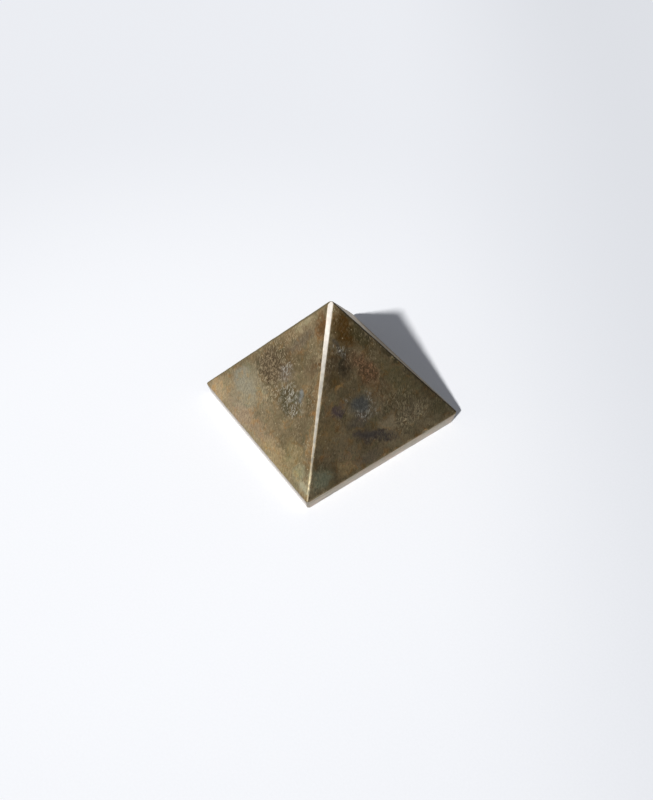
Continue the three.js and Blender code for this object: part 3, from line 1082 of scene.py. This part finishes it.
def all_strokes(place):
    """Short fine strokes in many directions."""
    flat = on_slope(vectors("ADD", place, random_shift(place, 2.4, 0.12)))
    drawn = 0
    for number, (turn, length, width, chance) in enumerate(STROKE_SETS):
        shift = (number * 3.7 + 1.1, number * 1.3, 0)  # no two sets have their cells in the same places
        turned = mapped(flat, shift, (0, 0, math.radians(turn)), (length, width, 1))
        drawn = larger(cell_strokes(turned, chance), drawn)
    return drawn


def needles(place):
    """Needles that run out from the hub on the right face."""
    face = FACES[RIGHT]
    local = mapped(place, tuple(face.place(*FAN_HUB)), tuple(face.euler(0)), (1, 1, 1))
    along, up, out = parts_of(local)
    distance = length_of(joined(along, up, times(out, 3)))
    turn = times(maths("ARCTAN2", up, along), NEEDLES_ROUND)
    fan = joined(times(distance, 1 / NEEDLE_LENGTH), turn)
    return times(cell_strokes(fan, 0.6), ramp(distance, *NEEDLES_FADE))


def zones_at(place, zones):
    """Each zone's share, from 1 in its middle to 0 past its edge, its colour and its strength."""
    for number, rows in zones.items():
        face = FACES[number]
        for along, up, half_length, half_width, turn, colour, strength in rows:
            gradient = add("TexGradient", {"Vector": place}, gradient_type="SPHERICAL")["Fac"]
            mapping = gradient.node.texture_mapping
            mapping.vector_type = "TEXTURE"
            mapping.translation = face.place(along, up)
            mapping.rotation = face.euler(turn)
            mapping.scale = Vector((half_length, half_width, ZONE_REACH)) * ZONE_EDGE
            yield ramp(gradient, 0, ZONE_FADE), paint(*colour), strength


def blotched(bent, colour, rows, kind):
    """The colour with each row's blotches laid over it."""
    for shift, size, threshold, strength, blotch in rows:
        level = bumps(vectors("ADD", bent, shift), size, 4)
        share = ramp(level, threshold, threshold + 0.2, 0, strength)
        colour = blend(share, colour, blotch, kind)
    return colour


def ground_colour(place, bent):
    """A mottled brass-brown with the zones laid over it."""
    broad = ramp(bumps(place, 7, 5, 0.62), 0.32, 0.68)
    colour = blend(broad, POLISH_DARK, POLISH_MID)
    colour = blotched(bent, colour, BLOTCHES, "MIX")
    for share, zone_colour, strength in zones_at(bent, ZONES):
        colour = blend(times(share, strength), colour, zone_colour)
    return blotched(bent, colour, TINTS, "MULTIPLY")


def stroke_looks(place, bent):
    """How thick the strokes lie, and their colour."""
    thick = ramp(bumps(place, 4.5), 0.42, 0.7, 0.1, 0.4)
    colour = paint(*GOLD_STROKE)
    for share, zone_colour, strength in zones_at(bent, STROKE_ZONES):
        thick = larger(thick, times(share, strength))
        colour = blend(share, colour, zone_colour)
    return thick, colour


def polish_group():
    """The polish that all the pieces share, so that it runs on across their seams."""
    tree = bpy.data.node_groups.new("polish", "ShaderNodeTree")
    begin(tree)
    place = part_place()
    bend = vectors("ADD", random_shift(place, 3.2, 2.6), random_shift(place, 0.8, 0.5))
    bent = vectors("ADD", place, within_face(place, bend))
    thick, stroke_colour = stroke_looks(place, bent)
    drawn = times(larger(all_strokes(place), needles(place)), thick)
    flat = on_slope(place)
    specks = cell_strokes(scaled(flat, 1 / SPECK_SPACING), SPECK_SHARE)
    drawn = larger(drawn, times(specks, SPECK_STRENGTH))

    grained = mapped(flat, (0, 0, 0), (0, 0, math.radians(GRAIN_TURN)), GRAIN_STRETCH)
    fine = bumps(grained, 0.6)
    grain = bumps(place, 0.24, 2)
    busy = ramp(thick, 0.1, 0.8, 0.8, 1)
    mottle = times(ramp(fine, 0.28, 0.76, -0.26, 0.34), busy)
    speckle = times(ramp(grain, 0.3, 0.7, -0.14, 0.16), busy)
    shade = plus(plus(mottle, speckle), 1)
    colour = scaled(ground_colour(place, bent), shade)
    # Pale strokes and specks: crystal grain, partly painted glints
    colour = blend(times(drawn, STROKE_STRENGTH), colour, stroke_colour)
    roughness = ramp(bumps(place, 1.6, 4), 0.3, 0.7, *POLISH_ROUGHNESS)
    height = plus(times(fine, 0.6), times(grain, 0.4))
    outputs = {
        "Colour": colour,
        "Roughness": minus(roughness, times(drawn, 0.03)),
        "Height": plus(height, times(drawn, 0.15)),
        "Strokes": drawn,
        "Mottle": shade,
    }
    for name in outputs:
        kind = "NodeSocketColor" if name == "Colour" else "NodeSocketFloat"
        tree.interface.new_socket(name, in_out="OUTPUT", socket_type=kind)
    group_output = tree.nodes.new("NodeGroupOutput")
    for name, value in outputs.items():
        feed(group_output.inputs[name], value)
    return tree


POLISH = polish_group()
METALLIC = 0.92
BAND_METALLIC = 0.4  # the band is sawn rather than polished
FRONT_FLAT_ROUGHNESS = 0.68
GLANCING_TINT = (0.6, 0.58, 0.55)  # the polish is a little dull at glancing angles
BUMP_DISTANCE = 0.02 * MM
BUMP_STRENGTH = 0.22
# The painted dark reflection along the edges fades out beside these: it ends and is whole at these shares of
# them
EDGE_REFLECTION_LINE_ENDS = {"front_flat": (0.3, 0.02), "left_band": (0.2, 0.01), "pale_flats": (0.2, 0.01)}


def finish_material(colour, roughness, height, metallic=METALLIC):
    bump = add("Bump", {"Height": height, "Strength": BUMP_STRENGTH, "Distance": BUMP_DISTANCE})[0]
    shader = add("BsdfPrincipled", {
        "Base Color": colour, "Roughness": roughness, "Metallic": metallic, "Specular Tint": GLANCING_TINT,
        "Normal": bump})
    add("OutputMaterial", {"Surface": shader[0]})


def new_material(name):
    """A material that the next nodes go to."""
    material = bpy.data.materials.new(name)
    material.use_nodes = True
    begin(material.node_tree)
    return material


def front_flat_painted_highlight(place):
    """The flat that faces the camera has a painted highlight: it is paler towards the point."""
    rise = parts_of(place)[2]
    colour = blend(ramp(rise, 5, 20), FRONT_FLAT_HIGHLIGHT_FOOT, FRONT_FLAT_HIGHLIGHT_MIDDLE)
    colour = blend(ramp(rise, 25, 37), colour, FRONT_FLAT_HIGHLIGHT_TOP)
    return scaled(colour, ramp(bumps(place, 1.4, 4, 0.65), 0.3, 0.7, 0.86, 1.12))


def band_colour(place, left_band, front_corner):
    """The sawn band is palest at its foot and on its left side, where the paleness is painted sunlight."""
    rise = parts_of(place)[2]
    # Painted sunlight on the band that faces the lamp
    left = blend(ramp(rise, 0.3, 3.8), LEFT_BAND_PAINTED_SUN_FOOT, LEFT_BAND_PAINTED_SUN_TOP)
    other = blend(ramp(rise, 0.4, 3.7), BAND_FOOT, BAND_TOP)
    warm = vectors("MULTIPLY", other, BAND_WARM)
    cool = vectors("MULTIPLY", other, BAND_COOL)
    other = blend(ramp(bumps(place, 4.2), 0.4, 0.6), warm, cool)
    marks = bumps(vectors("MULTIPLY", place, SAWN_STRETCH), 1.2, 4)
    other = scaled(other, ramp(marks, 0.3, 0.7, 0.82, 1.18))
    colour = blend(left_band, other, left)
    return blend(ramp(front_corner, 0.1, 0.6), colour, FRONT_CORNER_COLOUR)


def stone_material():
    material = new_material("polished_pyrite")
    place = part_place()
    polish = add("Group", node_tree=POLISH)
    share = {name: stored(name) for name in (*FLAT_ROWS, "rim", "hollow")}
    front_flat = ramp(share["front_flat"], 0.3, 0.88)
    pale_flats, right_flat = (ramp(share[name], 0.15, 0.5) for name in ("pale_flats", "right_flat"))
    left_band, other_bands = (ramp(share[name], 0.4, 0.6) for name in ("left_band", "other_bands"))
    bands = larger(left_band, other_bands)
    # The rim mask carries a painted dark reflection along the rounded edges
    rim = ramp(share["rim"], 0.12, 0.5)
    for name, ends in EDGE_REFLECTION_LINE_ENDS.items():
        rim = times(rim, ramp(share[name], *ends))
    hollow = ramp(share["hollow"], 0.01, 0.14)

    colour = blend(times(rim, 0.75), polish["Colour"], EDGE_PAINTED_REFLECTION)
    # Painted dark reflection on the right hip flat
    colour = blend(times(right_flat, 0.85), colour, RIGHT_FLAT_DARK_REFLECTION)
    colour = blend(times(pale_flats, 0.85), colour, PALE_FLAT_COLOUR)
    sawn = band_colour(place, left_band, share["front_corner"])
    colour = blend(bands, colour, blend(0.12, sawn, polish["Colour"]))
    # The front hip flat takes its painted highlight
    colour = blend(front_flat, colour, front_flat_painted_highlight(place))
    colour = blend(times(hollow, 0.6), colour, HOLLOW_COLOUR)

    ground = ramp(bumps(place, 0.9), 0.3, 0.7, 0.36, 0.5)
    roughness = plus(polish["Roughness"], times(hollow, 0.2))
    roughness = mixed(larger(larger(pale_flats, right_flat), bands), roughness, ground)
    roughness = mixed(front_flat, roughness, FRONT_FLAT_ROUGHNESS)
    metallic = mixed(bands, METALLIC, BAND_METALLIC)
    finish_material(colour, roughness, polish["Height"], metallic)
    return material


def body_material(name):
    *colours, rough, fade, strength, bright = BODY_LOOKS[name]
    ground, crystal, gap = (paint(*colour) for colour in colours)
    material = new_material(name + "_polish")
    place = part_place()
    polish = add("Group", node_tree=POLISH)
    ragged = minus(bumps(place, 1.1), 0.5)
    edge = plus(stored("inset"), times(ragged, 1.4 * fade))
    inside = ramp(edge, -0.1, fade, 0, strength)
    shine = stored("shine")
    hollow = ramp(stored("hollow"), 0.01, 0.07)
    # The gaps between the crystals take painted shade
    own = blend(hollow, *(scaled(colour, polish["Mottle"]) for colour in (ground, gap)))
    own = blend(times(polish["Strokes"], 0.6), own, crystal)
    # Bright crystals: their own colour, partly painted glints
    own = blend(ramp(shine, 0.1, 0.9, 0, bright), own, crystal)
    colour = blend(inside, polish["Colour"], own)
    wear = ramp(bumps(place, 0.8), 0.3, 0.7, rough - 0.02, rough + 0.03)
    finish_material(colour, minus(wear, times(shine, 0.03)), polish["Height"])
    return material


def dress_pieces():
    """Gives each piece and its CAD solid the same material."""
    for name, piece in PIECES.items():
        material = stone_material() if name == "pyrite_body" else body_material(name)
        for mesh in (piece.data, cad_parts[name].data):
            mesh.materials.clear()
            mesh.materials.append(material)


dress_pieces()


# The table, the light and the camera

FLOOR_RADIUS = 1500
FLOOR_SIDES = 96
FLOOR_COLOUR = (0.905, 0.91, 0.925)
# The table is palest in a painted pool of light, with painted shade far off and to one side
FLOOR_FAR_PAINTED_SHADE = (0.80, 0.81, 0.835)
FLOOR_SIDE_PAINTED_SHADE = (0.70, 0.712, 0.738)
PAINTED_LIGHT_POOL_CENTRE = (-10, -60, 0)
PAINTED_SHADE_WAY = (0.5785, 0.8155, 0)  # painted shade darkens the table this way
SUN_FROM = Vector((0.488, -0.990, 1))
SUN_SIZE = math.radians(3.3)
SUN_STRENGTH = 3.94
ROOM_COLOUR = (0.2, 0.208, 0.228)
CARD_RADIUS = 170
CARD_HEIGHT = 77
CARD_FROM, CARD_TO = -30, 105  # degrees from +X towards +Y
CARD_POINTS = 40
CARD_COLOUR = (0.03, 0.03, 0.03)
CAMERA_PLACE = Vector((121.7, -84.1, 175.4))
CAMERA_RIGHT = Vector((0.5785, 0.8155, -0.0166))
CAMERA_UP = Vector((-0.6127, 0.4478, 0.6512))
CAMERA_FOCUS = 813.58  # in pixels of the photograph's frame
FRAME_HEIGHT = 800
SENSOR = 36


def around(radius, turn, rise):
    return (radius * math.cos(turn), radius * math.sin(turn), rise)


def make_floor():
    turns = np.linspace(0, 2 * math.pi, FLOOR_SIDES + 1)[:-1]
    floor = new_mesh("table", [around(FLOOR_RADIUS, a, 0) for a in turns], [range(FLOOR_SIDES)])
    floor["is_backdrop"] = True
    floor.data.materials.append(new_material("white_table"))
    place = part_place()
    # A painted pool of light on the table, and painted shade to one side
    away = length_of(vectors("SUBTRACT", place, PAINTED_LIGHT_POOL_CENTRE))
    colour = blend(ramp(away, 40, 190), FLOOR_COLOUR, FLOOR_FAR_PAINTED_SHADE)
    aside = add("VectorMath", {0: place, 1: PAINTED_SHADE_WAY}, operation="DOT_PRODUCT")["Value"]
    colour = blend(ramp(aside, 20, 130), colour, FLOOR_SIDE_PAINTED_SHADE)
    grain = ramp(bumps(place, 0.5, 3, 0.55), 0.3, 0.7, 0.992, 1.008)
    inputs = {"Base Color": scaled(colour, grain), "Roughness": 0.9, "Specular IOR Level": 0}
    add("OutputMaterial", {"Surface": add("BsdfPrincipled", inputs)[0]})


def make_card():
    """A dark card that the right-hand side of the stone reflects."""
    turns = np.radians(np.linspace(CARD_FROM, CARD_TO, CARD_POINTS))
    points = [around(CARD_RADIUS, a, z) for z in (0, CARD_HEIGHT) for a in turns]
    faces = [(k, k + 1, CARD_POINTS + k + 1, CARD_POINTS + k) for k in range(CARD_POINTS - 1)]
    card = new_mesh("dark_card", points, faces)
    card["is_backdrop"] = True
    card.visible_camera = False
    card.visible_diffuse = False
    card.visible_shadow = False
    card.data.materials.append(new_material("dark_card"))
    add("OutputMaterial", {"Surface": add("BsdfDiffuse", {"Color": CARD_COLOUR})[0]})


def make_light():
    lamp = bpy.data.lights.new("key_light", "SUN")
    lamp.energy = SUN_STRENGTH
    lamp.angle = SUN_SIZE
    added("key_light", lamp).rotation_euler = SUN_FROM.to_track_quat("Z", "Y").to_euler()
    world = bpy.data.worlds.new("white_room")
    scene.world = world
    world.use_nodes = True
    begin(world.node_tree)
    rays = add("LightPath")
    seen = larger(rays["Is Camera Ray"], rays["Is Glossy Ray"])
    seen = larger(seen, rays["Is Transmission Ray"])
    seen = times(seen, maths("LESS_THAN", rays["Diffuse Depth"], 0.5))
    room, white = (add("Background", {"Color": colour, "Strength": 1})[0]
                   for colour in (ROOM_COLOUR, (1, 1, 1)))
    add("OutputWorld", {"Surface": add("MixShader", {0: seen, 1: room, 2: white})[0]})


def make_camera():
    lens = bpy.data.cameras.new("camera")
    lens.sensor_fit = "AUTO"
    lens.sensor_width = SENSOR
    lens.lens = CAMERA_FOCUS * SENSOR / FRAME_HEIGHT
    lens.clip_start = 0.01
    lens.clip_end = 10
    camera = added("camera", lens)
    turn = Matrix((CAMERA_RIGHT, CAMERA_UP, CAMERA_RIGHT.cross(CAMERA_UP))).transposed().to_4x4()
    camera.matrix_world = Matrix.Translation(CAMERA_PLACE * MM) @ turn
    scene.camera = camera


make_floor()
make_card()
make_light()
make_camera()
scene.view_settings.view_transform = "Standard"

VISUAL_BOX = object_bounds()
boxes = {"cad": CAD_BOX, "visual": VISUAL_BOX}
{name: [list(low), list(high)] for name, (low, high) in boxes.items()}
